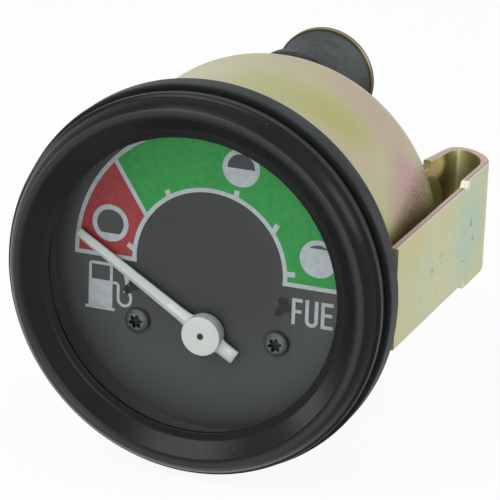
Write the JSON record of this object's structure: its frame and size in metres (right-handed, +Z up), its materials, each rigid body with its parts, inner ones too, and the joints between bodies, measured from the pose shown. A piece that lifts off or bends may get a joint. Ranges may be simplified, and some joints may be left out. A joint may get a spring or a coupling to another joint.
{
  "type": "fuel gauge",
  "caption": "Round electric fuel gauge for a vehicle panel, with moving pointer, clamp bracket, nut, terminals and pull-out lamp holder.",
  "frame": {"origin": "on the case axis, in the plane of the panel's front face, where the gasket's rear face rests", "axes": "+X to the right seen from the front, +Y from the glass to the rear of the case, +Z up as the dial is read"},
  "size_m": [0.0614, 0.0683, 0.0614],
  "materials": {
    "yellow_zinc": "yellow passivated zinc plating, satin",
    "black_paint": "black lacquer, satin",
    "clear_glass": "polished",
    "black_rubber": "matt moulded",
    "grey_rubber": "matt moulded, dusty",
    "dial_grey": "fine matt",
    "black_steel": "blackened, satin",
    "white_plastic": "moulded, satin",
    "pointer_white": "moulded, satin",
    "brass": "turned",
    "copper": "enamelled winding wire",
    "tinned_steel": "tin plated, satin",
    "ferrite": "ground, matt",
    "amber_board": "laminated paper board",
    "ceramic": "glazed"
  },
  "bodies": {
    "case": {"case_shell": "yellow_zinc", "bezel": "black_paint", "glass": "clear_glass", "glass_seal": "black_rubber", "spacer_ring": "dial_grey", "dial_plate": "dial_grey", "dial_screws": "black_steel", "inner_housing": "white_plastic", "panel_gasket": "black_rubber", "movement_base": "white_plastic", "front_bearing": "brass", "rear_bearing": "brass", "bobbin_front": "white_plastic", "bobbin_rear": "white_plastic", "coil_a": "copper", "coil_b": "copper", "movement_can": "tinned_steel", "return_magnet": "ferrite", "circuit_board": "amber_board", "ballast_resistor": "ceramic", "terminal_insulators": "black_rubber", "terminal_rivets": "brass", "terminal_blades": "tinned_steel", "clamp_stud": "yellow_zinc"},
    "pointer": {"pointer": "pointer_white", "spindle": "tinned_steel", "rotor_magnet": "ferrite"},
    "bracket": {"clamp_bracket": "yellow_zinc", "flat_washer": "yellow_zinc", "spring_washer": "tinned_steel"},
    "nut": {"clamp_nut": "yellow_zinc"},
    "lamp_holder": {"holder_sleeve": "grey_rubber", "holder_shell": "yellow_zinc", "contact_insulator": "amber_board", "centre_contact": "brass", "lamp_terminal": "tinned_steel", "bulb_cap": "brass", "bulb_glass": "clear_glass"}
  },
  "joints": [
    {"name": "pointer_swing", "type": "hinge", "parent": "case", "child": "pointer", "pos_m": [0, 0, -0.0095], "axis": [0, 1, 0], "range_deg": [0, 112]},
    {"name": "bracket_slide", "type": "slide", "parent": "case", "child": "bracket", "axis": [0, 1, 0], "range_m": [-0.0019, 0.0032]},
    {"name": "nut_turn", "type": "hinge", "parent": "bracket", "child": "nut", "pos_m": [0, 0.044, 0], "axis": [0, 1, 0], "range_deg": [-857, 1444]},
    {"name": "lamp_holder_pull", "type": "slide", "parent": "case", "child": "lamp_holder", "axis": [0, 1, 0], "range_m": [0, 0.025]}
  ],
  "couplings": [
    {"joint": "nut_turn", "follows": "bracket_slide", "rad_per_m": 7854}
  ]
}
